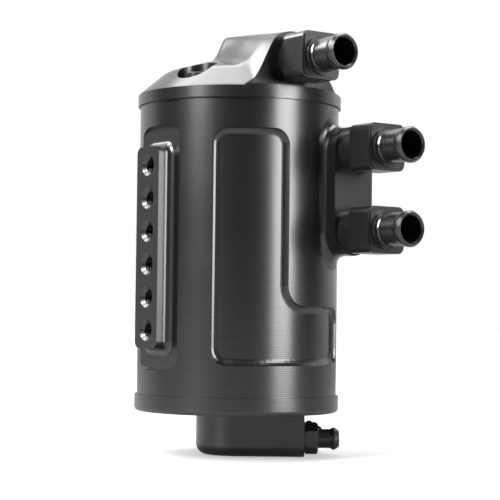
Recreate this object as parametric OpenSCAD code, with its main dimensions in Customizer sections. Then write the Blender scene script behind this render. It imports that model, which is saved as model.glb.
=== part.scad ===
/* [Can] */
// Outer diameter of the body
can_d = 100; // [96:1:110]
// Length of the body between its two end seams
body_h = 143.6; // [135:0.2:170]
// Thickness of the body wall
wall = 8; // [7:0.5:9]

/* [End caps] */
// How far each cap stands proud of the body
cap_lip = 1.2; // [0.6:0.1:2]
// Height of the straight rim of each cap
rim_h = 6.4; // [5:0.1:9]
// Rounded edge under the base cap
base_edge = 2.2; // [1:0.1:3]
// Length of the plug of each cap inside the body
plug_h = 9; // [8:0.5:12]
// Width of the groove for each cap seal
seal_groove = 2.4; // [2.2:0.1:2.8]
// Thickness of the cap seals
seal_d = 2; // [1.8:0.1:2.1]

/* [Cap screws] */
// Circle on which the cap screws stand
screw_circle_d = 72; // [68:1:73]
// Diameter of a cap screw
screw_d = 6; // [5:0.5:6]
// Length of a cap screw under its head
screw_len = 20; // [18:1:24]
// Diameter of a cap screw head
screw_head_d = 10; // [9:0.5:11]
// Height of a cap screw head
screw_head_h = 6; // [5:0.5:7]
// Width of the drive socket in a screw head
screw_drive = 5; // [4:0.5:5]
// Depth of the base screw heads under the face of the base cap
head_sink = 0.5; // [0.2:0.1:1]
// Diameter of the lugs inside the body that take the screws
lug_d = 15; // [14:0.5:17]
// Length of those lugs
lug_h = 16; // [14:1:22]

/* [Lid] */
// Rise of the sloped shoulder of the lid
shoulder_h = 10.5; // [8:0.5:13]
// Diameter of the lid where the shoulder ends
plateau_d = 76; // [72:1:80]
// Rise of the shallow cone inside the shoulder
crown_h = 7; // [4:0.5:9]
// Diameter of the top of that cone
crown_d = 28; // [24:1:36]
// Diameter of the screw pockets in the shoulder
pocket_d = 19.5; // [16:0.5:21]
// Lid metal left under a screw pocket
pocket_floor = 8; // [7:0.5:9]

/* [Outlet tower] */
// Height of the tower above the rim
tower_h = 25; // [24:0.5:30]
// Depth of the tower's front face behind the edge of the rim
tower_inset = 1.9; // [1.5:0.1:2.5]
// Width of the tower at the rim
tower_base_w = 48; // [46:1:52]
// Width of the tower where its flanks end
tower_top_w = 34; // [32:1:38]
// Radius of the tower's long top edges
tower_edge = 7; // [4:0.5:8]
// Height of the tower's round back end above the rim
hub_h = 29.8; // [28:0.2:32]
// Diameter of that end at its top
hub_top_d = 17.2; // [15:0.2:20]
// Diameter of that end at the rim's level
hub_base_d = 40.6; // [38:0.2:44]
// Edge radius of that end's top
hub_edge = 2; // [1:0.5:3]

/* [Mounting rail] */
// Width of the rail
rail_w = 19; // [17:0.5:22]
// Height of the rail
rail_h = 98; // [94:1:112]
// How far the rail stands out of the body
rail_out = 5; // [3:0.5:8]
// Corner radius of the rail
rail_corner = 3.5; // [2:0.5:6]
// Number of threaded holes
rail_holes = 6; // [2:1:6]
// Distance between the holes
rail_pitch = 16; // [14:0.5:17]
// Tapping bore of the holes
rail_tap_d = 6.8; // [5:0.1:7]
// Diameter of the countersunk mouths
rail_mouth_d = 10.5; // [8:0.5:12]
// Depth of the flat that is milled round the rail
moat_depth = 2.6; // [1.5:0.1:3]
// Width of the flat that is milled round the rail
moat_w = 10.6; // [8:0.2:12]
// Radius of the cove at the foot of the rail
moat_cove = 3.5; // [2:0.5:4]
// Thickness of the lip where the cove ends
rail_lip = 0.2; // [0.1:0.1:0.4]

/* [Front recess] */
// Depth of the recess
recess_depth = 2.4; // [1.5:0.1:3]
// Radius of the cutter that leaves the recess walls
recess_cutter = 4; // [3.5:0.1:5]
// Height of the lower edge above the bottom seam
recess_low = 15.4; // [12:0.2:20]
// Height of the step above the bottom seam
recess_step = 43.8; // [38:0.2:50]
// Height of the upper edge above the bottom seam
recess_high = 129.2; // [118:0.2:131]
// Left edge, in degrees from the port side
recess_left = -51.4; // [-53:0.2:-45]
// Right edge of the tall part, in degrees from the port side
recess_mid = -7.2; // [-16:0.2:-5]
// Right edge of the low part, in degrees from the port side
recess_right = 43.4; // [36:0.2:46]
// Radius of the outer corners
recess_corner = 8; // [6:0.5:10]
// Radius of the inner corner
recess_inner = 10; // [7:0.5:12]

/* [Inlet boss] */
// Sideways distance of the inlets from the can's axis
inlet_x = 27.6; // [24:0.2:28]
// Height of the lower inlet above the bottom seam
inlet_low = 80.8; // [76:0.2:84]
// Distance between the two inlets
inlet_pitch = 39.6; // [36:0.2:40]
// Width of the boss
boss_w = 23.6; // [22:0.2:26]
// How far the face of the boss stands out of the body
boss_out = 7; // [5:0.5:9]
// Width of the blend at the sides of the boss
blend_side = 4.5; // [3:0.5:6]
// Width of the blend at the ends of the boss
blend_end = 9; // [6:0.5:10]

/* [Hose adapters] */
// Width and height of the square block
block_w = 22.5; // [20:0.5:23]
// Depth of the square block
block_t = 16; // [12:0.5:18]
// Corner radius of the block
block_corner = 3.5; // [2:0.5:5]
// Edge chamfer of the block
block_chamfer = 0.8; // [0.4:0.1:1.2]
// Diameter of the neck behind the block
neck_d = 20; // [19:0.5:21]
// Length of the neck behind the block
neck_h = 9; // [8:0.5:12]
// Diameter of the threaded spigot
spigot_d = 16; // [15:0.5:17]
// Length of the threaded spigot
spigot_h = 9; // [7:0.5:9]
// Diameter of the collar in front of the block
collar_d = 19.6; // [18:0.2:21]
// Height of the collar
collar_h = 2; // [1:0.5:3]
// Outer diameter of the hose tube
hose_d = 16; // [15:0.5:16.5]
// Length of the hose tube, from the block to its mouth
hose_h = 17.4; // [14:0.2:24]
// Outer diameter of the bead at the mouth
bead_d = 17.3; // [17:0.1:18]
// Bore of the hose tube
hose_bore = 13; // [11:0.5:13.5]
// Height of the outlet axis above the lid's rim
outlet_up = 13.5; // [12:0.5:14]
// Thickness of the adapter seals
port_seal_d = 1.8; // [1.6:0.1:2]

/* [Sump] */
// Height of the sump under the base cap
sump_h = 21.5; // [20:0.5:28]
// Half the width of the sump
sump_r = 20; // [18:0.5:24]
// Distance of the drain face from the can's axis
sump_reach = 33.6; // [31:0.2:36]
// Radius of the lower edge of the sump
sump_edge = 5.5; // [3:0.5:6]
// Diameter of the well
well_d = 26; // [22:1:30]
// Thickness of the well's floor
well_floor = 4; // [3:0.5:4.5]

/* [Drain] */
// Height of the drain axis over the underside of the sump
drain_up = 8.2; // [8:0.2:10]
// Direction of the drain, in degrees from the port side
drain_turn = 54; // [50:1:58]
// Hexagon of the drain fitting, across flats
hex_af = 13.6; // [13:0.1:14]
// Length of the hexagon
hex_h = 6.6; // [6:0.2:9]
// Outer diameter of the drain tube
tube_d = 9.6; // [8:0.2:10]
// Length of the drain tube
tube_h = 10.6; // [9:0.2:16]
// Diameter of the bead on the drain tube
tube_bead_d = 11.4; // [10.8:0.2:12]
// Bore of the drain
drain_bore = 4; // [3:0.5:4]
// Thread diameter of the fitting
thread_d = 10; // [9:0.5:10]
// Length of the fitting's thread
thread_h = 8; // [6:0.5:10]
// Thickness of the drain washer
washer_t = 1; // [0.8:0.1:1.5]

/* [Drain tap] */
// Diameter of the tap's stem
stem_d = 5.2; // [5:0.1:5.2]
// Cross bore in the stem
stem_bore = 3; // [2.4:0.1:3.2]
// Diameter of the knob
knob_d = 15; // [13:0.2:15.6]
// Thickness of the knob
knob_t = 5; // [4:0.5:7]
// Gap between the knob and the side of the sump
knob_gap = 1; // [0.5:0.1:2]
// Number of grip flutes round the knob
knob_flutes = 12; // [8:1:16]

/* [Separator] */
// Outer diameter of the swirl tube
swirl_d = 36; // [32:1:38]
// Length of the swirl tube under the lid
swirl_h = 70; // [60:1:84]
// Wall of the swirl tube
swirl_wall = 1.5; // [1.2:0.1:2]
// Height of the mesh pack
mesh_h = 24; // [18:1:30]
// Height of the retaining ring above the lower end of the swirl tube
clip_up = 4; // [3:0.5:6]
// Thickness of the two screens
screen_t = 1.2; // [1:0.1:1.5]
// Diameter of the screens' holes
screen_hole_d = 2.6; // [1.6:0.2:3]
// Thickness of the retaining ring
clip_t = 1.2; // [1:0.1:1.5]
// Height of the baffle above the base cap's plug
baffle_up = 18; // [16:1:26]
// Diameter of the baffle's holes
baffle_hole_d = 5; // [4:0.5:5.5]
// Thickness of the baffle
baffle_t = 2; // [1.5:0.5:3]
// Diameter of the baffle's standoffs
standoff_d = 8; // [7:0.5:9]
// Circle on which the standoffs stand
standoff_circle_d = 50; // [46:1:52]
// Diameter of the baffle's screws
baffle_screw_d = 4; // [3:0.5:4]

/* [Fits] */
// Clearance round what slides in or seats in a bore
fit = 0.05; // [0.02:0.01:0.08]
// Radial clearance round a screw head in its pocket
head_gap = 0.5; // [0.3:0.1:1]
// Clearance between a plug and its bore
plug_gap = 0.1; // [0.05:0.05:0.2]

/* [Hidden] */

$fn = 96;
// Overlap of a cut past the face that it opens
past = 1;
can_r = can_d / 2;
chamber_r = can_r - wall;
cap_r = can_r + cap_lip;
body_z = sump_h + base_edge + rim_h;
lid_z = body_z + body_h;
rim_top = lid_z + rim_h;
plug_r = chamber_r - plug_gap;
lid_screw_angles = [54, 126, 198, 342];
base_screw_angles = [15, 95, 175, 255];
standoff_angles = [55, 215, 315];
lug_r = lug_d / 2;
screw_r = screw_circle_d / 2;
lid_seat_z = lid_z + pocket_floor;
base_seat_z = sump_h + screw_head_h + head_sink;
rail_z = body_z + body_h / 2;
rail_face = can_r + rail_out;
boss_face = can_r + boss_out;
boss_r = boss_w / 2;
inlet_z1 = body_z + inlet_low;
inlet_z2 = inlet_z1 + inlet_pitch;
boss_mid = (inlet_z1 + inlet_z2) / 2;
outlet_z = rim_top + outlet_up;
port_step = 1.2;
swirl_top = lid_z - plug_h;
tower_face = cap_r - tower_inset;
duct_start = [-23, outlet_z];
duct_end = [-7, swirl_top];
swirl_seat = 4;
clip_z = swirl_top - swirl_h + clip_up;
lower_screen_z = clip_z + clip_t;
mesh_z = lower_screen_z + screen_t;
upper_screen_z = mesh_z + mesh_h;
plug_top = body_z + plug_h;
baffle_z = plug_top + baffle_up;
funnel_r = standoff_circle_d / 2 - standoff_d / 2 / cos(30) - 1;
knob_low = sump_r + knob_gap;
drain_z = drain_up;
hex_x = sump_reach + washer_t;
stem_x = hex_x + hex_h / 2;
wall_turn = acos(1 - recess_depth / recess_cutter);
wall_w = recess_cutter * sin(wall_turn);
floor_r = can_r - recess_depth;
groove_sink = 2;
corner_in = (recess_corner - wall_w) * 0.6;
level_step = 3.4;

// Angle in degrees that a length spans on the can
function turn(length) = length / can_r * 180 / PI;
function arc_len(angle) = angle * PI / 180 * can_r;
function arc(c, r, a0, a1, n) = [for (i = [0:n]) c + r * [cos(a0 + (a1 - a0) * i / n),
    sin(a0 + (a1 - a0) * i / n)]];

// Turns a feature drawn upright so that it faces out at an angle from the port side
module facing(angle) {
    rotate([0, 0, angle]) rotate([90, 0, 0]) children();
}

// A rounded pad that stands on a flat, with a cove that runs out in a thin lip at its foot
module pad(w, h, corner, top, foot, lip, cove) {
    side = concat([[-corner, foot], [cove, foot]],
        arc([cove, foot + lip + cove], cove, 270, 180, 6), [[0, top], [-corner, top]]);
    for (x = [-1, 1], y = [-1, 1])
        translate([x * (w / 2 - corner), y * (h / 2 - corner), 0])
            rotate_extrude() polygon([for (p = side) [p[0] + corner, p[1]]]);
    for (s = [0, 1]) {
        half = s == 0 ? w / 2 : h / 2;
        run = (s == 0 ? h : w) - 2 * corner;
        rotate([90, 0, s * 90]) translate([0, 0, -run / 2]) linear_extrude(run)
            polygon(concat([for (p = side) if (p[0] > -corner) [half + p[0], p[1]]],
                [for (i = [len(side) - 1:-1:0]) if (side[i][0] > -corner)
                    [-half - side[i][0], side[i][1]]]));
    }
}

module rounded_block(w, h, corner, depth) {
    linear_extrude(depth) {
        square([w - 2 * corner, h], center = true);
        square([w, h - 2 * corner], center = true);
        for (x = [-1, 1], y = [-1, 1])
            translate([x * (w / 2 - corner), y * (h / 2 - corner)]) circle(corner, $fn = 48);
    }
}

// Section of the groove along the recess outline: [distance outside the floor, height over it]
wall_curve = concat([for (k = [0:4]) let (b = wall_turn * k / 4)
    [recess_cutter * sin(b), recess_cutter * (1 - cos(b)) - 0.04]],
    [[wall_w + past / tan(wall_turn), recess_depth + past]]);
function groove(inner) = concat([[-inner, -groove_sink], [-0.6, -groove_sink]], wall_curve,
    [[-inner, recess_depth + past]]);

// Points of the outline on the unrolled can: [along, up, outward along, outward up, inner width]
function bend(c, r, a0, a1, side, inner) = let (n = 7) [for (i = [0:n])
    let (a = a0 + (a1 - a0) * i / n) [c[0] + r * cos(a), c[1] + r * sin(a),
        side * cos(a), side * sin(a), inner]];
function level(x0, x1, z, side) = let (n = ceil(abs(x1 - x0) / level_step))
    [for (i = [1:n - 1]) [x0 + (x1 - x0) * i / n, z, 0, side, corner_in]];
recess_path = let (x0 = arc_len(recess_left) + wall_w, x1 = arc_len(recess_mid) - wall_w,
    x2 = arc_len(recess_right) - wall_w, z0 = body_z + recess_low + wall_w,
    z1 = body_z + recess_step - wall_w, z2 = body_z + recess_high - wall_w,
    r = recess_corner - wall_w, ri = recess_inner + wall_w) concat(
    bend([x0 + r, z0 + r], r, 180, 270, 1, corner_in),
    level(x0 + r, x2 - r, z0, -1),
    bend([x2 - r, z0 + r], r, 270, 360, 1, corner_in),
    bend([x2 - r, z1 - r], r, 0, 90, 1, corner_in),
    level(x2 - r, x1 + ri, z1, 1),
    bend([x1 + ri, z1 + ri], ri, 270, 180, -1, recess_inner / 2 + 2),
    bend([x1 - r, z2 - r], r, 0, 90, 1, corner_in),
    level(x1 - r, x0 + r, z2, 1),
    bend([x0 + r, z2 - r], r, 90, 180, 1, corner_in));

// The rounded wall of the recess as one groove that runs round its outline
module recess_groove() {
    n = len(recess_path);
    m = len(groove(1));
    points = [for (q = recess_path, g = groove(q[4]))
        let (a = (q[0] + g[0] * q[2]) / can_r * 180 / PI, r = floor_r + g[1])
        [r * sin(a), -r * cos(a), q[1] + g[0] * q[3]]];
    function at(i, j) = (i % n) * m + (j % m);
    polyhedron(points, concat(
        [for (i = [0:n - 1], j = [0:m - 1]) [at(i, j), at(i, j + 1), at(i + 1, j + 1)]],
        [for (i = [0:n - 1], j = [0:m - 1]) [at(i, j), at(i + 1, j + 1), at(i + 1, j)]]));
}

// Everything outside a radius between two angles and two heights
module sector(a0, a1, z0, z1, deep) {
    rotate([0, 0, a0 - 90]) rotate_extrude(angle = a1 - a0)
        translate([floor_r - deep, z0]) square([recess_depth + past + deep, z1 - z0]);
}

// The recess is cut too deep, and the round of its floor is put back afterwards
module recess() {
    edge = wall_w + corner_in / 2;
    w = turn(edge);
    low = body_z + recess_low + edge;
    step = body_z + recess_step - edge;
    high = body_z + recess_high - edge;
    nook = (recess_inner + wall_w) * 0.24 + corner_in / 2;
    recess_groove();
    sector(recess_left + w, recess_mid - w, low, high, groove_sink * 0.8);
    sector(recess_mid - w - 1, recess_right - w, low, step, groove_sink * 0.7);
    sector(recess_mid - w - 1, recess_mid - w + turn(nook), step - 1, step + nook,
        groove_sink * 0.6);
}

// Distance of the can's surface from the plane through its axis, at x
function surface_y(x) = -sqrt(can_r * can_r - x * x);

// Outline of the boss: point and outward direction, in the plane of its face
boss_steps = 56;
function boss_dir(i) = [cos(360 * (i + 0.5) / boss_steps), sin(360 * (i + 0.5) / boss_steps)];
function boss_edge(i) = let (d = boss_dir(i))
    [inlet_x + boss_r * d[0], boss_mid + (d[1] > 0 ? 1 : -1) * inlet_pitch / 2 + boss_r * d[1]];
function blend_w(i) = blend_side + (blend_end - blend_side) * pow(boss_dir(i)[1], 2);
function blend_point(i, t) = let (e = boss_edge(i), d = boss_dir(i), w = blend_w(i),
    foot = e + w * d, sink = 0.15,
    s = [e[0] - 0.02 * d[0], surface_y(e[0]) - w, e[1] - 0.02 * d[1]],
    c = [e[0], surface_y(e[0]) + sink, e[1]],
    g = [foot[0], surface_y(foot[0]) + sink, foot[1]])
    (1 - t) * (1 - t) * s + 2 * t * (1 - t) * c + t * t * g;

// The concave blend between the boss and the round of the can
module boss_blend() {
    rows = 6;
    top = [for (i = [0:boss_steps - 1]) blend_point(i, 0)];
    sunk = [for (i = [0:boss_steps - 1]) let (g = blend_point(i, 1))
        [g[0] * 0.9, g[1] * 0.9, g[2]]];
    points = concat([[inlet_x, -can_r + 8, boss_mid]],
        [for (k = [0:rows], i = [0:boss_steps - 1]) blend_point(i, k / rows)],
        sunk, [[inlet_x * 0.7, -chamber_r * 0.6, boss_mid]]);
    last = len(points) - 1;
    function at(k, i) = 1 + k * boss_steps + (i % boss_steps);
    polyhedron(points, concat(
        [for (i = [0:boss_steps - 1]) [0, at(0, i + 1), at(0, i)]],
        [for (k = [0:rows], i = [0:boss_steps - 1]) [at(k, i), at(k, i + 1), at(k + 1, i + 1)]],
        [for (k = [0:rows], i = [0:boss_steps - 1]) [at(k, i), at(k + 1, i + 1), at(k + 1, i)]],
        [for (i = [0:boss_steps - 1]) [last, at(rows + 1, i), at(rows + 1, i + 1)]]));
}

module lugs(angles, z) {
    for (a = angles) rotate([0, 0, a]) translate([screw_r, 0, z]) {
        cylinder(d = lug_d, h = lug_h);
        translate([0, -lug_r, 0]) cube([wall / 2, lug_d, lug_h]);
    }
}

module at_lid_screws() {
    for (a = lid_screw_angles) rotate([0, 0, a]) translate([screw_r, 0, 0]) children();
}

module at_base_screws() {
    for (a = base_screw_angles) rotate([0, 0, a]) translate([screw_r, 0, 0]) children();
}

// The round of the body, with the recess and the flat round the rail
module milled_round() {
    difference() {
        union() {
            difference() {
                translate([0, 0, body_z]) cylinder(r = can_r, h = body_h, $fn = 256);
                recess();
            }
            translate([0, 0, body_z]) cylinder(r = floor_r, h = body_h, $fn = 256);
        }
        translate([0, 0, rail_z]) facing(-90) translate([0, 0, can_r - moat_depth])
            rounded_block(rail_w + 2 * moat_w, rail_h + 2 * moat_w,
                rail_corner + moat_w, 2 * moat_depth + past);
    }
}

// The rail seats on the milled flat, and its threaded holes run right through it
module mounting_rail() {
    color("#26272a") difference() {
        translate([0, 0, rail_z]) facing(-90) pad(rail_w, rail_h, rail_corner,
            rail_face, can_r - moat_depth, rail_lip, moat_cove);
        rail_threads();
    }
}

module boss() {
    translate([inlet_x, 0, boss_mid]) facing(0) linear_extrude(boss_face) {
        square([boss_w, inlet_pitch], center = true);
        for (s = [-1, 1]) translate([0, s * inlet_pitch / 2]) circle(boss_r);
    }
}

module rail_threads() {
    mouth = (rail_mouth_d - rail_tap_d) / 2;
    for (i = [0:rail_holes - 1])
        translate([0, 0, rail_z + rail_pitch * (i - (rail_holes - 1) / 2)]) facing(-90) {
            translate([0, 0, chamber_r]) cylinder(d = rail_tap_d, h = rail_face);
            translate([0, 0, rail_face - mouth]) cylinder(d1 = rail_tap_d,
                d2 = rail_mouth_d + 2 * past, h = mouth + past);
        }
}

module body() {
    color("#26272a") difference() {
        union() {
            difference() {
                union() {
                    milled_round();
                    boss();
                    boss_blend();
                }
                translate([0, 0, body_z - past]) cylinder(r = chamber_r, h = body_h + 2 * past);
            }
            intersection() {
                union() {
                    lugs(base_screw_angles, body_z + plug_h);
                    lugs(lid_screw_angles, lid_z - plug_h - lug_h);
                }
                cylinder(r = chamber_r + wall / 2, h = 2 * lid_z);
            }
        }
        for (z = [inlet_z1, inlet_z2]) translate([inlet_x, 0, z]) facing(0)
            cylinder(d = spigot_d + 2 * fit, h = boss_face + past);
        at_base_screws() translate([0, 0, body_z])
            cylinder(d = screw_d + 2 * fit, h = plug_h + lug_h);
        at_lid_screws() translate([0, 0, lid_z - plug_h - lug_h])
            cylinder(d = screw_d + 2 * fit, h = plug_h + lug_h);
    }
}

// Front outline of the tower, with its long edges rounded
module tower_outline() {
    b = tower_base_w / 2;
    t = tower_top_w / 2;
    flank = atan2(tower_h - tower_edge, b - t);
    c = [t - tower_edge * sin(flank), tower_h - tower_edge];
    right = concat([[b, 0]], arc(c, tower_edge, 90 - flank, 90, 8));
    polygon(concat(right, [for (i = [len(right) - 1:-1:0]) [-right[i][0], right[i][1]]]));
}

// The tower narrows from its front outline to a round tapered end about the can's axis
module tower() {
    slope = (hub_base_d - hub_top_d) / 2 / hub_h;
    c = [hub_top_d / 2 + slope * hub_edge - hub_edge, hub_h - hub_edge];
    hull() {
        rotate([90, 0, 0]) translate([0, 0, tower_face - past]) linear_extrude(past)
            tower_outline();
        rotate_extrude() polygon(concat([[0, 0], [hub_base_d / 2, 0]],
            arc(c, hub_edge, 0, 90, 4), [[0, hub_h]]));
    }
}

module cap_plug(z, up) {
    groove = z + up * (plug_h / 2);
    difference() {
        translate([0, 0, up > 0 ? z : z - plug_h]) cylinder(r = plug_r, h = plug_h);
        translate([0, 0, groove - seal_groove / 2]) difference() {
            cylinder(r = can_r, h = seal_groove);
            cylinder(r = chamber_r - seal_d - fit, h = seal_groove);
        }
    }
}

// Slanted bore from the swirl tube up to the outlet, with a round end
module duct() {
    rise = duct_start - duct_end;
    translate([0, duct_end[0], duct_end[1]]) rotate([atan2(-rise[0], rise[1]), 0, 0])
        translate([0, 0, -hose_bore]) cylinder(d = hose_bore, h = norm(rise) + hose_bore);
    translate([0, duct_start[0], duct_start[1]]) sphere(d = hose_bore);
}

module lid() {
    color("#26272a") difference() {
        union() {
            translate([0, 0, lid_z]) rotate_extrude($fn = 256)
                polygon([[0, 0], [cap_r, 0], [cap_r, rim_h - 0.8], [cap_r - 0.8, rim_h],
                    [plateau_d / 2, rim_h + shoulder_h],
                    [crown_d / 2, rim_h + shoulder_h + crown_h], [0, rim_h + shoulder_h + crown_h]]);
            intersection() {
                translate([0, 0, rim_top]) tower();
                translate([0, 0, lid_z]) cylinder(r = cap_r - 0.01, h = can_d, $fn = 256);
            }
            difference() {
                cap_plug(lid_z, -1);
                at_lid_screws() translate([0, 0, lid_z - plug_h - past])
                    cylinder(d = screw_d + 2 * fit, h = plug_h + 2 * past);
            }
        }
        at_lid_screws() translate([0, 0, lid_seat_z]) cylinder(d = pocket_d, h = tower_h);
        at_lid_screws() translate([0, 0, lid_z - plug_h - past])
            cylinder(d = screw_d + 2 * fit, h = pocket_floor + plug_h + 2 * past);
        translate([0, 0, swirl_top - past]) cylinder(d = swirl_d + 2 * fit, h = swirl_seat + past);
        duct();
        translate([0, 0, outlet_z]) facing(0) {
            translate([0, 0, -duct_start[0]]) cylinder(d = hose_bore, h = cap_r);
            translate([0, 0, tower_face - neck_h])
                cylinder(d = neck_d + 2 * fit, h = neck_h + past);
            translate([0, 0, tower_face - neck_h - spigot_h - port_step])
                cylinder(d = spigot_d + 2 * fit, h = spigot_h + neck_h);
        }
    }
}

// Half of the sump's section, with its rounded lower edge
sump_half = concat(arc([sump_r - sump_edge, sump_edge], sump_edge, 270, 360, 8),
    [[sump_r, sump_h + past]]);

module base() {
    rim_z = body_z - rim_h;
    color("#26272a") difference() {
        union() {
            rotate_extrude($fn = 256) polygon(concat([[0, sump_h]],
                arc([cap_r - base_edge, rim_z], base_edge, 270, 360, 6),
                [[cap_r, body_z], [0, body_z]]));
            rotate([0, 0, drain_turn]) {
                rotate_extrude(angle = 180)
                    polygon(concat([[0, 0]], sump_half, [[0, sump_h + past]]));
                rotate([90, 0, 0]) linear_extrude(sump_reach) polygon(concat(sump_half,
                    [for (i = [len(sump_half) - 1:-1:0]) [-sump_half[i][0], sump_half[i][1]]]));
            }
            difference() {
                cap_plug(body_z, 1);
                translate([0, 0, body_z + 2]) cylinder(r1 = well_d / 2, r2 = funnel_r,
                    h = plug_h - 2 + 0.01);
            }
        }
        translate([0, 0, well_floor]) cylinder(d = well_d, h = body_z);
        translate([0, 0, drain_z]) facing(drain_turn) {
            cylinder(d = drain_bore, h = sump_reach + past);
            translate([0, 0, sump_reach - thread_h - 0.5])
                cylinder(d = thread_d + 2 * fit, h = thread_h + past);
        }
        at_base_screws() translate([0, 0, sump_h - past])
            cylinder(d = screw_head_d + 2 * head_gap, h = base_seat_z - sump_h + past);
        at_base_screws() cylinder(d = screw_d + 2 * fit, h = body_z + plug_h + past);
        standoff_places() translate([0, 0, body_z + plug_h - 8])
            cylinder(d = baffle_screw_d + 2 * fit, h = 10);
    }
}

module standoff_places() {
    for (a = standoff_angles) rotate([0, 0, a]) translate([standoff_circle_d / 2, 0, 0])
        children();
}

module seal(r, d) {
    rotate_extrude() translate([r, 0]) circle(d = d, $fn = 32);
}

module lid_seal() {
    color("#151515") translate([0, 0, lid_z - plug_h / 2]) seal(chamber_r - seal_d / 2, seal_d);
}

module base_seal() {
    color("#151515") translate([0, 0, body_z + plug_h / 2]) seal(chamber_r - seal_d / 2, seal_d);
}

// A socket head screw that points down from the seat of its head
module socket_screw(d, length, head_d, head_h, drive) {
    difference() {
        union() {
            cylinder(d = head_d, h = head_h - 0.4, $fn = 64);
            translate([0, 0, head_h - 0.4])
                cylinder(d1 = head_d, d2 = head_d - 0.8, h = 0.4, $fn = 64);
            translate([0, 0, -length]) cylinder(d = d, h = length + 0.1, $fn = 48);
        }
        translate([0, 0, head_h / 2]) cylinder(d = drive / cos(30), h = head_h, $fn = 6);
    }
}

module lid_screws() {
    color("#1b1b1d") at_lid_screws() translate([0, 0, lid_seat_z])
        socket_screw(screw_d, screw_len + plug_h / 2, screw_head_d, screw_head_h, screw_drive);
}

module base_screws() {
    color("#1b1b1d") at_base_screws() translate([0, 0, base_seat_z]) mirror([0, 0, 1])
        socket_screw(screw_d, screw_len + plug_h / 2, screw_head_d, screw_head_h, screw_drive);
}

// One hose adapter, drawn with its seat at the origin and its mouth up
module adapter() {
    front = neck_h + block_t;
    tip = front + hose_h;
    seal_z = -spigot_h / 2;
    difference() {
        union() {
            translate([0, 0, -spigot_h]) cylinder(d = spigot_d, h = spigot_h + past);
            cylinder(d = neck_d, h = neck_h + past);
            translate([0, 0, neck_h + block_chamfer])
                rounded_block(block_w, block_w, block_corner, block_t - 2 * block_chamfer);
            translate([0, 0, neck_h]) rounded_block(block_w - 2 * block_chamfer,
                block_w - 2 * block_chamfer, block_corner - block_chamfer / 2, block_t);
            translate([0, 0, front - past]) cylinder(d = collar_d, h = collar_h + past);
            translate([0, 0, front]) rotate_extrude() polygon([[0, 0], [hose_d / 2 + 0.4, 0],
                [hose_d / 2 + 0.4, collar_h], [hose_d / 2, collar_h + 0.8],
                [hose_d / 2, hose_h - 5], [bead_d / 2, hose_h - 2.6],
                [bead_d / 2, hose_h - 1.4], [hose_d / 2 - 0.3, hose_h], [0, hose_h]]);
        }
        translate([0, 0, -spigot_h - past]) cylinder(d = hose_bore, h = spigot_h + tip + 2 * past);
        translate([0, 0, tip - 0.8])
            cylinder(d1 = hose_bore, d2 = hose_bore + 2.4, h = 1.2);
        translate([0, 0, seal_z - port_seal_d / 2 - 0.1]) difference() {
            cylinder(d = spigot_d + 2, h = port_seal_d + 0.2);
            cylinder(d = spigot_d + 2 * fit - 1.6 * port_seal_d, h = port_seal_d + 0.2);
        }
    }
}

module at_outlet() {
    translate([0, 0, outlet_z]) facing(0) translate([0, 0, tower_face - neck_h]) children();
}

module at_inlet(z) {
    translate([inlet_x, 0, z]) facing(0) translate([0, 0, boss_face]) children();
}

module port_seal() {
    translate([0, 0, -spigot_h / 2])
        seal(spigot_d / 2 + fit - port_seal_d * 0.8 / 2, port_seal_d * 0.8);
}

module outlet_adapter() { color("#232325") at_outlet() adapter(); }
module upper_inlet_adapter() { color("#232325") at_inlet(inlet_z2) adapter(); }
module lower_inlet_adapter() { color("#232325") at_inlet(inlet_z1) adapter(); }
module outlet_seal() { color("#151515") at_outlet() port_seal(); }
module upper_inlet_seal() { color("#151515") at_inlet(inlet_z2) port_seal(); }
module lower_inlet_seal() { color("#151515") at_inlet(inlet_z1) port_seal(); }

swirl_r = swirl_d / 2;
swirl_in = swirl_r - swirl_wall;

module swirl_tube() {
    color("#b9bcc0") difference() {
        translate([0, 0, swirl_top - swirl_h]) cylinder(r = swirl_r, h = swirl_h + swirl_seat);
        translate([0, 0, swirl_top - swirl_h - past])
            cylinder(r = swirl_in, h = swirl_h + swirl_seat + 2 * past);
        translate([0, 0, clip_z - 0.1]) cylinder(r = swirl_in + 0.7, h = clip_t + 0.2);
    }
}

// Number of holes in each ring of a screen, and the ring's share of the screen's radius
screen_rings = [[1, 0], [6, 4.4 / 16.5], [12, 8.6 / 16.5], [18, 12.4 / 16.5]];

module screen(z) {
    translate([0, 0, z]) difference() {
        cylinder(r = swirl_in - fit, h = screen_t);
        for (ring = screen_rings) for (i = [0:ring[0] - 1]) rotate([0, 0, 360 * i / ring[0]])
            translate([ring[1] * swirl_in, 0, -past])
            cylinder(d = screen_hole_d, h = screen_t + 2 * past, $fn = 24);
    }
}

module upper_screen() { color("#9a9da2") screen(upper_screen_z); }
module lower_screen() { color("#9a9da2") screen(lower_screen_z); }

module mesh_pack() {
    color("#8c8f93") translate([0, 0, mesh_z]) cylinder(r = swirl_in - fit, h = mesh_h);
}

module screen_clip() {
    color("#77797d") translate([0, 0, clip_z]) difference() {
        cylinder(r = swirl_in + 0.6, h = clip_t);
        translate([0, 0, -past]) cylinder(r = swirl_in - 2, h = clip_t + 2 * past);
        translate([0, -2.5, -past]) cube([swirl_r + past, 5, clip_t + 2 * past]);
    }
}

// Number of holes in each ring of the baffle, and the ring's radius
baffle_rings = [[8, 12], [12, 19.5], [20, 33]];

module baffle_plate() {
    color("#a6a9ad") translate([0, 0, baffle_z]) difference() {
        cylinder(r = chamber_r - 1, h = baffle_t);
        for (ring = baffle_rings) for (i = [0:ring[0] - 1])
            rotate([0, 0, 360 * (i + 0.5) / ring[0]]) translate([ring[1], 0, -past])
            cylinder(d = baffle_hole_d, h = baffle_t + 2 * past, $fn = 24);
        standoff_places() translate([0, 0, -past])
            cylinder(d = baffle_screw_d + 2 * fit, h = baffle_t + 2 * past);
    }
}

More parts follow.
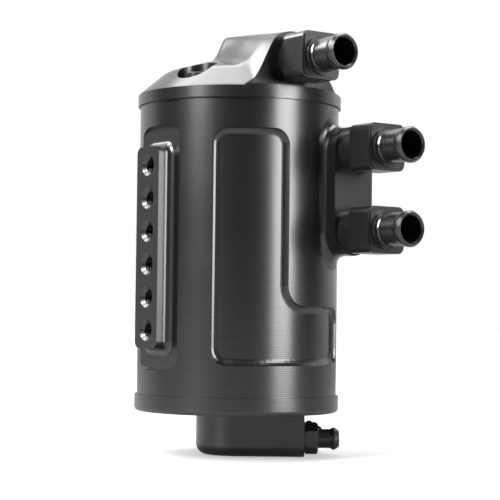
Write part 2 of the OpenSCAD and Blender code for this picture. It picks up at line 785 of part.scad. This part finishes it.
module baffle_standoffs() {
    color("#b9bcc0") standoff_places() translate([0, 0, plug_top]) difference() {
        cylinder(d = standoff_d / cos(30), h = baffle_up, $fn = 6);
        translate([0, 0, -past]) cylinder(d = baffle_screw_d + 2 * fit, h = baffle_up + 2 * past);
    }
}

module baffle_screws() {
    color("#8f9296") standoff_places() translate([0, 0, baffle_z + baffle_t])
        socket_screw(baffle_screw_d, baffle_t + baffle_up + 6, 7, 4, 3);
}

module drain_fitting() {
    color("#1f1f21") translate([0, 0, drain_z]) facing(drain_turn) difference() {
        union() {
            translate([0, 0, hex_x - washer_t - thread_h])
                cylinder(d = thread_d, h = thread_h + washer_t + past);
            intersection() {
                translate([0, 0, hex_x]) rotate([0, 0, 30])
                    cylinder(d = hex_af / cos(30), h = hex_h, $fn = 6);
                translate([0, 0, hex_x]) rotate_extrude() polygon([[0, 0], [hex_af / 2, 0],
                    [hex_af / 2 + 1.2, 0.6], [hex_af / 2 + 1.2, hex_h - 0.6],
                    [hex_af / 2, hex_h], [0, hex_h]]);
            }
            translate([0, 0, hex_x + hex_h - past]) cylinder(d = tube_d, h = tube_h + past - 1);
            translate([0, 0, hex_x + hex_h]) rotate_extrude()
                polygon([[0, tube_h - 4.6], [tube_d / 2, tube_h - 4.6],
                    [tube_bead_d / 2, tube_h - 2.8], [tube_bead_d / 2, tube_h - 2.2],
                    [tube_d / 2 - 0.6, tube_h], [0, tube_h]]);
        }
        translate([0, 0, hex_x - thread_h - 2 * past])
            cylinder(d = stem_bore, h = thread_h + hex_h + tube_h);
        translate([0, 0, hex_x + hex_h]) cylinder(d = drain_bore, h = tube_h + past);
        translate([0, 0, stem_x]) rotate([0, 90, 0]) translate([0, 0, -hex_af / 2 + 1.5])
            cylinder(d = stem_d + 2 * fit, h = hex_af);
    }
}

module drain_washer() {
    color("#2a2a2c") translate([0, 0, drain_z]) facing(drain_turn)
        translate([0, 0, sump_reach]) difference() {
            cylinder(d = hex_af + 1.2, h = washer_t);
            translate([0, 0, -past]) cylinder(d = thread_d + 2 * fit, h = washer_t + 2 * past);
        }
}

// Places a piece on the tap's axis, which points away from the drain's near side
module on_tap() {
    translate([0, 0, drain_z]) facing(drain_turn) translate([0, 0, stem_x]) rotate([0, 90, 0])
        children();
}

stem_low = -hex_af / 2 + 1.6;
seal_at = hex_af / 2 - 2.2;

module tap_stem() {
    top = knob_low + knob_t - 1;
    color("#8f9296") on_tap() difference() {
        translate([0, 0, stem_low]) cylinder(d = stem_d, h = top - stem_low, $fn = 64);
        rotate([0, 90, 90]) translate([0, 0, -stem_d]) cylinder(d = stem_bore, h = 2 * stem_d);
        translate([0, 0, seal_at - 0.65]) difference() {
            cylinder(d = stem_d + 2, h = 1.3);
            cylinder(d = stem_d - 2, h = 1.3);
        }
        translate([0, 0, top - 3]) cylinder(d = 2.5, h = 4);
    }
}

module tap_seal() {
    color("#151515") on_tap() translate([0, 0, seal_at]) seal(stem_d / 2 - 0.46, 0.98);
}

module tap_knob() {
    color("#202022") on_tap() difference() {
        translate([0, 0, knob_low]) rotate_extrude() polygon([[0, 0], [knob_d / 2 - 0.5, 0],
            [knob_d / 2, 0.5], [knob_d / 2, knob_t - 0.8], [knob_d / 2 - 0.8, knob_t], [0, knob_t]]);
        for (i = [0:knob_flutes - 1]) rotate([0, 0, 360 * (i + 0.5) / knob_flutes])
            translate([knob_d / 2 + 0.35, 0, knob_low - past])
            cylinder(d = 1.8, h = knob_t + 2 * past, $fn = 24);
        translate([0, 0, knob_low - past]) cylinder(d = stem_d + 2 * fit, h = knob_t);
        translate([0, 0, knob_low]) cylinder(d = 2.6, h = knob_t + past);
    }
}

module knob_screw() {
    top = knob_low + knob_t;
    color("#8f9296") on_tap() translate([0, 0, top])
        socket_screw(2.4, 3.6, 4.4, 1.6, 1.5);
}

body();
mounting_rail();
lid();
base();
lid_seal();
base_seal();
lid_screws();
base_screws();
outlet_adapter();
upper_inlet_adapter();
lower_inlet_adapter();
outlet_seal();
upper_inlet_seal();
lower_inlet_seal();
swirl_tube();
mesh_pack();
upper_screen();
lower_screen();
screen_clip();
baffle_plate();
baffle_standoffs();
baffle_screws();
drain_fitting();
drain_washer();
tap_stem();
tap_seal();
tap_knob();
knob_screw();
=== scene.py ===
# %% [markdown]
# Oil catch can, built up for its looks.
# The solid pieces come from the imported CAD model, which is a fixed frame in metres.
# This lesson adds what a camera sees: the light, the finishes, the threads in the rail's holes and
# a lid whose tower grows out of it in a smooth sweep.

# %% Load the frame
import math

import bpy
from mathutils import Matrix, Vector


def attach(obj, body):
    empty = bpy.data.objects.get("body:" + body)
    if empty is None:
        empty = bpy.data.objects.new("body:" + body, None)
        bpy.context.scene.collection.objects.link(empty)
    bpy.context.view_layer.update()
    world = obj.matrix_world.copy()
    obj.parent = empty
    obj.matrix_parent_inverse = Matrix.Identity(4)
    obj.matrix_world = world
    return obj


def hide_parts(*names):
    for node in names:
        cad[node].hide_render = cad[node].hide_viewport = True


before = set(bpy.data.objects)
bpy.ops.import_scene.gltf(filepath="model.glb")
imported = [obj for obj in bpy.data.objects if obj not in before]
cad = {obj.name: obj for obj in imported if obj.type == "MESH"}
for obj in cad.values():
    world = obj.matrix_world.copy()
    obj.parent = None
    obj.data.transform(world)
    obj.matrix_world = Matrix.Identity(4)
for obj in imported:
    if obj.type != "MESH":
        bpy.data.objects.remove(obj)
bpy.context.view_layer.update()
bpy.ops.object.select_all(action="DESELECT")

# %% [markdown]
# The camera stands a little to one side of the ports, low down, and looks up very slightly.
# A long lens far away keeps the can's sides almost parallel, as product pictures do.
# The angle, distance and lens were fitted to the edges and hole centres that can be measured.

# %% Set up the camera
CAMERA_TURN = math.radians(36.44)     # from straight in front of the ports
CAMERA_TILT = math.radians(2.3)       # upwards
CAMERA_ROLL = math.radians(0.70)
CAMERA_AWAY = 0.8417
CAMERA_HEIGHT = 0.06865
LENS_PIXELS = 1668.8                  # focal length in pixels of a 500 pixel frame
FRAME_PIXELS = 500
CENTRE_PIXELS = 237.96                # where the lens looks, from the frame's left edge
SENSOR = 36.0

across = Vector((math.cos(CAMERA_TURN), -math.sin(CAMERA_TURN), 0))
ahead = Vector((math.sin(CAMERA_TURN), math.cos(CAMERA_TURN), 0))
up = Vector((0, 0, 1))
look = ahead * math.cos(CAMERA_TILT) + up * math.sin(CAMERA_TILT)
top_side = up * math.cos(CAMERA_TILT) - ahead * math.sin(CAMERA_TILT)

camera_data = bpy.data.cameras.new("camera")
camera_data.sensor_width = SENSOR
camera_data.lens = LENS_PIXELS * SENSOR / FRAME_PIXELS
camera_data.shift_x = (FRAME_PIXELS / 2 - CENTRE_PIXELS) / FRAME_PIXELS
camera_data.clip_start = 0.05
camera = bpy.data.objects.new("camera", camera_data)
bpy.context.scene.collection.objects.link(camera)
axes = Matrix((across, top_side, -look)).transposed().to_4x4()
spot = Matrix.Translation(-ahead * CAMERA_AWAY + up * CAMERA_HEIGHT)
camera.matrix_world = spot @ axes @ Matrix.Rotation(CAMERA_ROLL, 4, "Z")
bpy.context.scene.camera = camera
print("lens", round(camera_data.lens, 1), "mm, at", [round(c, 3) for c in camera.location])

# %% [markdown]
# The stage is a plain pale floor under a white surround.
# The floor is an ordinary matt surface, so it keeps the can's soft shadow.
# Only for the camera it also glows, a little near the can and fully far away, where the lamps
# don't reach. That lifts the unshaded part to white and hides the horizon.

# %% Lay the floor
FLOOR_HALF = 6.0
FLOOR_DROP = 0.0002                   # keeps the can's foot and the floor from sharing a plane
FLOOR_GREY = 0.26
GLOW_NEAR, GLOW_FAR = 0.43, 1.0       # at the distances below
NEAR, FAR = 0.1, 0.9
floor_mesh = bpy.data.meshes.new("floor")
floor_mesh.from_pydata([(-FLOOR_HALF, -FLOOR_HALF, 0), (FLOOR_HALF, -FLOOR_HALF, 0),
                        (FLOOR_HALF, FLOOR_HALF, 0), (-FLOOR_HALF, FLOOR_HALF, 0)], [],
                       [(0, 1, 2, 3)])
floor = bpy.data.objects.new("floor", floor_mesh)
bpy.context.scene.collection.objects.link(floor)
floor.location.z = -FLOOR_DROP

floor_finish = bpy.data.materials.new("pale_floor")
floor_finish.use_nodes = True
nodes, links = floor_finish.node_tree.nodes, floor_finish.node_tree.links
floor_shader = nodes["Principled BSDF"]
floor_shader.inputs["Base Color"].default_value = (FLOOR_GREY, FLOOR_GREY, FLOOR_GREY, 1)
floor_shader.inputs["Roughness"].default_value = 0.6
floor_shader.inputs["Specular IOR Level"].default_value = 0.2
floor_shader.inputs["Emission Color"].default_value = (1, 1, 1, 1)
rays = nodes.new("ShaderNodeLightPath")
spread = nodes.new("ShaderNodeTexCoord")
far = nodes.new("ShaderNodeVectorMath")
far.operation = "LENGTH"
links.new(spread.outputs["Object"], far.inputs[0])
glow = nodes.new("ShaderNodeMapRange")
for socket, value in (("From Min", NEAR), ("From Max", FAR),
                      ("To Min", GLOW_NEAR), ("To Max", GLOW_FAR)):
    glow.inputs[socket].default_value = value
links.new(far.outputs["Value"], glow.inputs["Value"])
lift = nodes.new("ShaderNodeMath")
lift.operation = "MULTIPLY"
links.new(glow.outputs[0], lift.inputs[1])
links.new(rays.outputs["Is Camera Ray"], lift.inputs[0])
links.new(lift.outputs[0], floor_shader.inputs["Emission Strength"])
floor_mesh.materials.append(floor_finish)
print("floor laid, sides of", 2 * FLOOR_HALF, "m")

# %% [markdown]
# A photographer would hang white paper behind the can and keep the room on the camera's side dark.
# The surround does the same: it is white where the camera looks, and for reflections it is white
# behind the can and dim on the camera's side. That is why a black object shows pale rims.

# %% Paint the surround
ROOM_LIGHT, PAPER_LIGHT = 0.03, 1.0
FADE_START, FADE_END = 0.1, 0.6       # cosine of the angle away from straight behind the can
world = bpy.data.worlds.new("surround")
bpy.context.scene.world = world
world.use_nodes = True
nodes, links = world.node_tree.nodes, world.node_tree.links
nodes.clear()
place = nodes.new("ShaderNodeTexCoord")
behind = nodes.new("ShaderNodeVectorMath")
behind.operation = "DOT_PRODUCT"
behind.inputs[1].default_value = ahead
links.new(place.outputs["Generated"], behind.inputs[0])
fade = nodes.new("ShaderNodeMapRange")
fade.interpolation_type = "SMOOTHSTEP"
for socket, value in (("From Min", FADE_START), ("From Max", FADE_END),
                      ("To Min", ROOM_LIGHT), ("To Max", PAPER_LIGHT)):
    fade.inputs[socket].default_value = value
links.new(behind.outputs["Value"], fade.inputs["Value"])
rays = nodes.new("ShaderNodeLightPath")
seen = nodes.new("ShaderNodeMath")
seen.operation = "MAXIMUM"
links.new(rays.outputs["Is Camera Ray"], seen.inputs[0])
links.new(rays.outputs["Is Transmission Ray"], seen.inputs[1])
white = nodes.new("ShaderNodeMath")
white.operation = "MAXIMUM"
links.new(seen.outputs[0], white.inputs[0])
links.new(fade.outputs[0], white.inputs[1])
background = nodes.new("ShaderNodeBackground")
background.inputs["Color"].default_value = (1, 1, 1, 1)
links.new(white.outputs[0], background.inputs["Strength"])
output = nodes.new("ShaderNodeOutputWorld")
links.new(background.outputs[0], output.inputs["Surface"])
print("surround painted")

# %% [markdown]
# Four soft boxes light the can. On a glossy black cylinder each one shows as a band.
# A tall one on the right gives the bright stripe, a higher one on the left a faint grey sheen, and
# one overhead whitens the shoulder of the lid. The last stands high at the far left, where the
# tower's flank reflects it.

# %% Hang the soft boxes
AIM_HEIGHT = 0.1                      # about the middle of the can


def soft_box(name, turn, away, height, width, tall, power, tilt=0):
    """An area lamp at an angle from the camera's side, turned to face the can."""
    lamp = bpy.data.lights.new(name, "AREA")
    lamp.shape = "RECTANGLE"
    lamp.size, lamp.size_y = width, tall
    lamp.energy = power
    hung = bpy.data.objects.new(name, lamp)
    bpy.context.scene.collection.objects.link(hung)
    a = math.radians(turn)
    out = -ahead * math.cos(a) + across * math.sin(a)
    hung.location = out * away + up * height
    aim = Vector((0, 0, AIM_HEIGHT + tilt)) - hung.location
    hung.rotation_euler = aim.to_track_quat("-Z", "Y").to_euler()
    hung.visible_camera = False


soft_box("right_box", 54, 1.3, 0.45, 0.58, 1.5, 34)
soft_box("left_box", -48, 1.3, 1.05, 0.42, 1.1, 70)
soft_box("overhead_box", 178, 0.35, 1.25, 1.1, 0.9, 18)
soft_box("side_box", -106, 1.1, 1.15, 0.9, 0.9, 28, tilt=0.09)

# %% [markdown]
# The finishes. Turned metal keeps fine rings from the lathe tool, and anodising leaves them
# visible as hair lines. They are small bumps that depend on the height along the can's axis,
# so a wave on the Z of the Object coordinates makes them, with uneven bands mixed in.
# A second group gives cloudy patches. Every finish uses it, as no real surface is evenly smooth.

# %% Groups for lathe lines and cloudy patches
WAVE_SHARE = 0.35                     # how much of the even wave joins the uneven bands
BAND_SCALE, BAND_DETAIL = 0.6, 3
CLOUD_DETAIL = 4


def group(name, inputs, output):
    """An empty node group with float inputs {name: value} and one float output."""
    tree = bpy.data.node_groups.new(name, "ShaderNodeTree")
    for title, value in inputs.items():
        socket = tree.interface.new_socket(title, in_out="INPUT", socket_type="NodeSocketFloat")
        socket.default_value = value
    tree.interface.new_socket(output, in_out="OUTPUT", socket_type="NodeSocketFloat")
    return tree, tree.nodes.new("NodeGroupInput"), tree.nodes.new("NodeGroupOutput")


def math_node(tree, operation, *terms):
    """A maths node fed by sockets or numbers."""
    node = tree.nodes.new("ShaderNodeMath")
    node.operation = operation
    for slot, value in enumerate(terms):
        if isinstance(value, (int, float)):
            node.inputs[slot].default_value = value
        else:
            tree.links.new(value, node.inputs[slot])
    return node.outputs[0]


lathe_lines, given, result = group("lathe_lines", {"Pitch": 0.0004}, "Height")
coords = lathe_lines.nodes.new("ShaderNodeTexCoord")
apart = lathe_lines.nodes.new("ShaderNodeSeparateXYZ")
lathe_lines.links.new(coords.outputs["Object"], apart.inputs[0])
turns = math_node(lathe_lines, "DIVIDE", apart.outputs["Z"], given.outputs["Pitch"])
wave = math_node(lathe_lines, "SINE", math_node(lathe_lines, "MULTIPLY", turns, 2 * math.pi))
bands = lathe_lines.nodes.new("ShaderNodeTexNoise")
bands.noise_dimensions = "1D"
bands.inputs["Scale"].default_value = BAND_SCALE
bands.inputs["Detail"].default_value = BAND_DETAIL
lathe_lines.links.new(turns, bands.inputs["W"])
mixed = math_node(lathe_lines, "ADD", math_node(lathe_lines, "MULTIPLY", wave, WAVE_SHARE),
                  bands.outputs[0])
lathe_lines.links.new(mixed, result.inputs["Height"])

cloudy, given, result = group("cloudy", {"Scale": 40, "Low": 0.25, "High": 0.35}, "Value")
coords = cloudy.nodes.new("ShaderNodeTexCoord")
noise = cloudy.nodes.new("ShaderNodeTexNoise")
noise.inputs["Detail"].default_value = CLOUD_DETAIL
cloudy.links.new(coords.outputs["Object"], noise.inputs["Vector"])
cloudy.links.new(given.outputs["Scale"], noise.inputs["Scale"])
ranged = cloudy.nodes.new("ShaderNodeMapRange")
cloudy.links.new(noise.outputs[0], ranged.inputs["Value"])
cloudy.links.new(given.outputs["Low"], ranged.inputs["To Min"])
cloudy.links.new(given.outputs["High"], ranged.inputs["To Max"])
cloudy.links.new(ranged.outputs[0], result.inputs["Value"])
print("groups:", [g.name for g in bpy.data.node_groups])

# %% [markdown]
# Each finish is one Principled material. The can in the photo looks anodised black. Its screws,
# seals and inner pieces hardly show, so they have what is usual for their kind: blackened steel,
# rubber and bare metal. They differ in colour, gloss and grain, so one helper builds them all from
# those numbers. Two bumps can lie on each other, the rings of the lathe and a fine grain.

# %% Helper for the finishes
def finish_of(name, colour, metallic=0.0, scale=40, low=0.25, high=0.35, lines=0.0, pitch=0.0004,
              grain=0.0, grain_scale=900, specular=0.5):
    """A material with cloudy roughness, and lathe lines or fine grain as its bump."""
    material = bpy.data.materials.new(name)
    material.use_nodes = True
    tree = material.node_tree
    shader = tree.nodes["Principled BSDF"]
    shader.inputs["Base Color"].default_value = (*colour, 1)
    shader.inputs["Metallic"].default_value = metallic
    shader.inputs["Specular IOR Level"].default_value = specular
    rough = tree.nodes.new("ShaderNodeGroup")
    rough.node_tree = cloudy
    rough.inputs["Scale"].default_value = scale
    rough.inputs["Low"].default_value = low
    rough.inputs["High"].default_value = high
    tree.links.new(rough.outputs["Value"], shader.inputs["Roughness"])
    normal = None
    if lines:
        ring = tree.nodes.new("ShaderNodeGroup")
        ring.node_tree = lathe_lines
        ring.inputs["Pitch"].default_value = pitch
        bump = tree.nodes.new("ShaderNodeBump")
        bump.inputs["Distance"].default_value = lines
        tree.links.new(ring.outputs["Height"], bump.inputs["Height"])
        normal = bump.outputs["Normal"]
    if grain:
        fine = tree.nodes.new("ShaderNodeGroup")
        fine.node_tree = cloudy
        fine.inputs["Scale"].default_value = grain_scale
        fine.inputs["Low"].default_value = 0
        fine.inputs["High"].default_value = 1
        bump = tree.nodes.new("ShaderNodeBump")
        bump.inputs["Distance"].default_value = grain
        tree.links.new(fine.outputs["Value"], bump.inputs["Height"])
        if normal:
            tree.links.new(normal, bump.inputs["Normal"])
        normal = bump.outputs["Normal"]
    if normal:
        tree.links.new(normal, shader.inputs["Normal"])
    return material


# %% Mix the finishes
black_anodised = finish_of("black_anodised", (0.003, 0.003, 0.0033), low=0.24, high=0.29,
                           lines=0.000008, pitch=0.001, grain=0.000004, specular=0.8)
adapter_black = finish_of("adapter_black", (0.005, 0.0047, 0.005), low=0.24, high=0.32,
                          grain=0.000004, specular=0.8)
black_steel = finish_of("black_steel", (0.02, 0.02, 0.021), metallic=0.6, low=0.3, high=0.45,
                        grain=0.000006)
plain_aluminium = finish_of("plain_aluminium", (0.78, 0.79, 0.8), metallic=1.0, low=0.28, high=0.4,
                            lines=0.000004, pitch=0.0003)
stainless = finish_of("stainless", (0.6, 0.6, 0.61), metallic=1.0, low=0.25, high=0.4,
                      grain=0.000005)
seal_rubber = finish_of("seal_rubber", (0.012, 0.012, 0.012), low=0.5, high=0.7, grain=0.00001,
                        grain_scale=1500, specular=0.4)
print("finishes:", [m.name for m in bpy.data.materials])

# %% [markdown]
# Every node of the CAD model gets the finish that its real piece would have. The finish replaces
# the colour that came with the node, and the mesh itself stays as it is.

# %% Give each CAD node its finish
FINISHES = {
    black_anodised: ["body", "mounting_rail", "lid", "base"],
    adapter_black: ["outlet_adapter", "upper_inlet_adapter", "lower_inlet_adapter",
                    "drain_fitting", "tap_knob"],
    black_steel: ["lid_screws", "base_screws"],
    plain_aluminium: ["swirl_tube", "baffle_plate", "baffle_standoffs"],
    stainless: ["mesh_pack", "upper_screen", "lower_screen", "screen_clip", "baffle_screws",
                "tap_stem", "knob_screw"],
    seal_rubber: ["lid_seal", "base_seal", "outlet_seal", "upper_inlet_seal",
                  "lower_inlet_seal", "tap_seal", "drain_washer"],
}
for finish, names in FINISHES.items():
    for name in names:
        cad[name].data.materials.clear()
        cad[name].data.materials.append(finish)
print("nodes with a finish:", sum(len(v) for v in FINISHES.values()), "of", len(cad))

# %% [markdown]
# The six holes of the rail are threaded. A tap cuts a helical groove, so what stays is one ridge
# that winds inwards from the bore. It is a three-sided profile, swept round by the Screw modifier.
# The ridge is modelled once, spread a little where the mouth is countersunk, and then copied from
# hole to hole at the rail's pitch.

# %% Wind one thread and copy it into the six holes
BORE_R = 0.0034
RIDGE = 0.00042                       # from the middle of the profile to its tip
PROFILE_OUT = 0.3                     # how far the profile's middle lies in the wall, in ridges
THREAD_STEPS = 40
THREAD_PITCH = 0.00125
THREAD_TURNS = 5
THREAD_START = -0.0479                # x of the inner end, just outside the milled flat
MOUTH_START = 0.00525                 # from there to where the bore widens into its mouth
HOLE_PITCH = 0.016
LOWEST_HOLE = 0.0619

bpy.ops.object.select_all(action="DESELECT")
bpy.ops.mesh.primitive_circle_add(vertices=3, radius=RIDGE, fill_type="NOTHING",
                                  location=(BORE_R + PROFILE_OUT * RIDGE, 0, 0),
                                  rotation=(math.pi / 2, -math.pi / 2, 0))
thread = bpy.context.active_object
thread.name = "rail_thread_1"
bpy.ops.object.transform_apply(location=True, rotation=True, scale=True)
winding = thread.modifiers.new("winding", "SCREW")
winding.axis = "Z"
winding.angle = 2 * math.pi
winding.screw_offset = THREAD_PITCH
winding.iterations = THREAD_TURNS
winding.steps = winding.render_steps = THREAD_STEPS
winding.use_merge_vertices = False
bpy.ops.object.modifier_apply(modifier="winding")
bpy.ops.object.mode_set(mode="EDIT")
bpy.ops.mesh.select_all(action="SELECT")
bpy.ops.mesh.fill_holes(sides=3)
bpy.ops.mesh.select_all(action="SELECT")
bpy.ops.mesh.normals_make_consistent(inside=False)
bpy.ops.object.mode_set(mode="OBJECT")
for vertex in thread.data.vertices:
    widening = 1 + max(vertex.co.z - MOUTH_START, 0) / BORE_R
    vertex.co.x *= widening
    vertex.co.y *= widening
thread.location = (THREAD_START, 0, LOWEST_HOLE)
thread.rotation_euler = (0, -math.pi / 2, 0)
bpy.ops.object.transform_apply(location=True, rotation=True, scale=True)
thread.data.materials.append(black_anodised)
threads = [thread]
for number in range(2, 7):
    bpy.ops.object.duplicate(linked=False)
    copy = bpy.context.active_object
    copy.name = f"rail_thread_{number}"
    copy.location.z = HOLE_PITCH
    bpy.ops.object.transform_apply(location=True)
    threads.append(copy)
for piece in threads:
    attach(piece, "can")
print("threads:", len(threads), "faces each:", len(thread.data.polygons))

# %% [markdown]
# The lid could be milled from one billet, so that its tower grows out of the cone in a broad sweep.
# The CAD lid has plainer forms with seams between them, and its tower's front stands about 5 mm
# further out. The dressed lid has the sweep, and its front stands where the photo shows it.
# A height is worked out for each point of the lid's top: the lower of the tower's flank and its
# own top, then softly joined to the cone. The soft minimum and maximum below round a seam over a
# chosen span, which gives the smooth sheen that milling and blasting leave.

# %% Heights of the lid
RIM_TOP = 0.1801
CROWN_R = 0.05039                     # where the shoulder meets the rim
SHOULDER_R = 0.038
SHOULDER_RISE = 0.0105
HUB_R = 0.014
CROWN_RISE = 0.007                    # of the shallow cone, from the shoulder to the hub
CONE_SPAN = 0.0012                    # over which the two cones are rounded into each other
FRONT_Y = -0.0442                     # the tower's flat front
FRONT_RUN = 0.044                     # over which the tower changes from its back to its front
FLANK_RUN = 0.405                     # how far the flank leans for each unit of height
TOWER_HALF, TOWER_WIDENS = 0.0204, 0.0026
TOWER_TOP, TOWER_DROPS = 0.0297, 0.0022
TOP_BEND, BEND_GROWS = 3, 21          # how strongly the top is arched, per metre
EDGE_SPAN, EDGE_GROWS = 0.0025, 0.006
BACK_SWEEP, SWEEP_GROWS = 0.005, 0.011
SWEEP_FROM, SWEEP_TO = -0.004, 0.022  # distances towards the front


def soft_min(a, b, span):
    """The lower of two heights, rounded where they are closer than the span."""
    near = max(span - abs(a - b), 0)
    return min(a, b) - near * near / (4 * span)


def soft_max(a, b, span):
    """The higher of two heights, rounded where they are closer than the span."""
    return -soft_min(-a, -b, span)


def ease(value, start, end):
    """Goes smoothly from 0 at the start to 1 at the end."""
    t = min(max((value - start) / (end - start), 0), 1)
    return t * t * (3 - 2 * t)


def cone_height(r):
    """The shoulder and the shallow cone inside it, over the rim."""
    shoulder = SHOULDER_RISE * (CROWN_R - r) / (CROWN_R - SHOULDER_R)
    crown = SHOULDER_RISE + CROWN_RISE * (SHOULDER_R - r) / (SHOULDER_R - HUB_R)
    return soft_min(shoulder, crown, CONE_SPAN)


def tower_height(x, y):
    """The tower: round about the can's axis, and wider and lower towards its front."""
    side = abs(x) if y < 0 else math.hypot(x, y)
    front = min(max(-y / FRONT_RUN, 0), 1)
    flank = (TOWER_HALF + TOWER_WIDENS * front - side) / FLANK_RUN
    top = TOWER_TOP - TOWER_DROPS * front - side * side * (TOP_BEND + BEND_GROWS * front)
    return soft_min(flank, top, EDGE_SPAN + EDGE_GROWS * front)


def lid_height(x, y):
    """Cone and tower, joined in a sweep that is broad at the flanks and tight at the back."""
    sweep = BACK_SWEEP + SWEEP_GROWS * ease(-y, SWEEP_FROM, SWEEP_TO)
    return soft_max(cone_height(math.hypot(x, y)), tower_height(x, y), sweep)


print("tower top:", round(RIM_TOP + lid_height(0, 0), 4),
      "front:", round(RIM_TOP + lid_height(0, FRONT_Y), 4))

# %% [markdown]
# The blank is turned first, as a maker would do on a lathe. Half of its section, with the rim, the
# plug and the groove for the seal, is spun round the can's axis and closed. Its flat top is a net
# of fine rings. Then every point of the top is raised to the height worked out above.

# %% Spin the lid and raise its top
LID_FOOT = 0.1737
LID_R = 0.0512
RIM_CHAMFER = 0.0008
PLUG_R, PLUG_FOOT = 0.0419, 0.1647
GROOVE_R, GROOVE_LOW, GROOVE_HIGH = 0.03995, 0.168, 0.1704
RING_STEP = 0.0006
SPIN_STEPS = 288
WELD = 0.000002
rings = round(CROWN_R / RING_STEP)
section = [(CROWN_R * i / rings, RIM_TOP) for i in range(rings + 1)]
section += [(LID_R, RIM_TOP - RIM_CHAMFER), (LID_R, LID_FOOT), (PLUG_R, LID_FOOT),
            (PLUG_R, GROOVE_HIGH), (GROOVE_R, GROOVE_HIGH), (GROOVE_R, GROOVE_LOW),
            (PLUG_R, GROOVE_LOW), (PLUG_R, PLUG_FOOT), (0, PLUG_FOOT)]
lid_mesh = bpy.data.meshes.new("dressed_lid")
lid_mesh.from_pydata([(r, 0, z) for r, z in section],
                     [(i, i + 1) for i in range(len(section) - 1)], [])
lid = bpy.data.objects.new("dressed_lid", lid_mesh)
bpy.context.scene.collection.objects.link(lid)


def only(piece):
    """Selects one object and makes it the active one."""
    bpy.ops.object.select_all(action="DESELECT")
    piece.select_set(True)
    bpy.context.view_layer.objects.active = piece


only(lid)
bpy.ops.object.mode_set(mode="EDIT")
bpy.ops.mesh.select_all(action="SELECT")
bpy.ops.mesh.spin(steps=SPIN_STEPS, angle=2 * math.pi, center=(0, 0, 0), axis=(0, 0, 1))
bpy.ops.mesh.select_all(action="SELECT")
bpy.ops.mesh.remove_doubles(threshold=WELD)
bpy.ops.mesh.normals_make_consistent(inside=False)
bpy.ops.object.mode_set(mode="OBJECT")
for vertex in lid_mesh.vertices:
    if vertex.co.z > RIM_TOP - RIM_CHAMFER / 2:
        vertex.co.z = RIM_TOP + lid_height(vertex.co.x, vertex.co.y)
print("lid spun:", len(lid_mesh.polygons), "faces")

# %% [markdown]
# Cutters take away what is not the lid: the space before the tower's flat front, the four screw
# pockets, the seat of the swirl tube, the stepped bore of the outlet and the slanted duct below
# it. Each cutter is a primitive at its size and place, as each milling tool would be.

# %% Cut the front, the pockets and the bores
OUTLET_Z = 0.1936
POCKET_RING, POCKET_R, SCREW_HOLE_R = 0.036, 0.00975, 0.00305
POCKET_FLOOR, POCKET_END = 0.1817, 0.215
HOLE_FOOT, HOLE_END = 0.163, 0.1825
FRONT_BOX = (0.12, 0.02, 0.05)        # all that lies before the tower's front, above the rim
ABOVE_RIM = 0.00002                   # keeps the box and the rim from sharing a plane


def cut(target, cutter):
    """Cuts one solid with another and removes the cutter."""
    only(target)
    saw = target.modifiers.new("saw", "BOOLEAN")
    saw.solver = "EXACT"
    saw.operation = "DIFFERENCE"
    saw.object = cutter
    bpy.ops.object.modifier_apply(modifier="saw")
    bpy.data.objects.remove(cutter, do_unlink=True)


def rod(r, start, end, vertices=96):
    """A cylinder between two points."""
    start, end = Vector(start), Vector(end)
    bpy.ops.mesh.primitive_cylinder_add(vertices=vertices, radius=r, depth=(end - start).length,
                                        location=(start + end) / 2,
                                        rotation=(end - start).to_track_quat("Z", "Y").to_euler())
    return bpy.context.active_object


bpy.ops.mesh.primitive_cube_add(size=1, scale=FRONT_BOX,
                                location=(0, FRONT_Y - FRONT_BOX[1] / 2,
                                          RIM_TOP + FRONT_BOX[2] / 2 + ABOVE_RIM))
cut(lid, bpy.context.active_object)
for angle in (54, 126, 198, 342):
    x = POCKET_RING * math.cos(math.radians(angle))
    y = POCKET_RING * math.sin(math.radians(angle))
    cut(lid, rod(POCKET_R, (x, y, POCKET_FLOOR), (x, y, POCKET_END)))
    cut(lid, rod(SCREW_HOLE_R, (x, y, HOLE_FOOT), (x, y, HOLE_END), 48))
BORES = [
    (0.01805, (0, 0, 0.163), (0, 0, 0.1687)),                     # seat of the swirl tube
    (0.01005, (0, -0.0403, OUTLET_Z), (0, -0.06, OUTLET_Z)),      # seat of the adapter's shoulder
    (0.00805, (0, -0.0301, OUTLET_Z), (0, -0.045, OUTLET_Z)),     # seat of the adapter's spigot
    (0.0065, (0, -0.023, OUTLET_Z), (0, -0.035, OUTLET_Z)),       # outlet
    (0.0065, (0, -0.0045, 0.16), (0, -0.0232, 0.194)),            # slanted duct
]
for r, start, end in BORES:
    cut(lid, rod(r, start, end))
lid_mesh.materials.clear()
lid_mesh.materials.append(black_anodised)
only(lid)
bpy.ops.object.shade_smooth_by_angle(angle=math.radians(32))
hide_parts("lid")
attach(lid, "can")
print("dressed lid:", len(lid_mesh.polygons), "faces")

# %% [markdown]
# Every new piece rides on a body and has its finish by now. The last step sets the Standard view
# transform.

# %% Close the script
bpy.context.scene.view_settings.view_transform = "Standard"
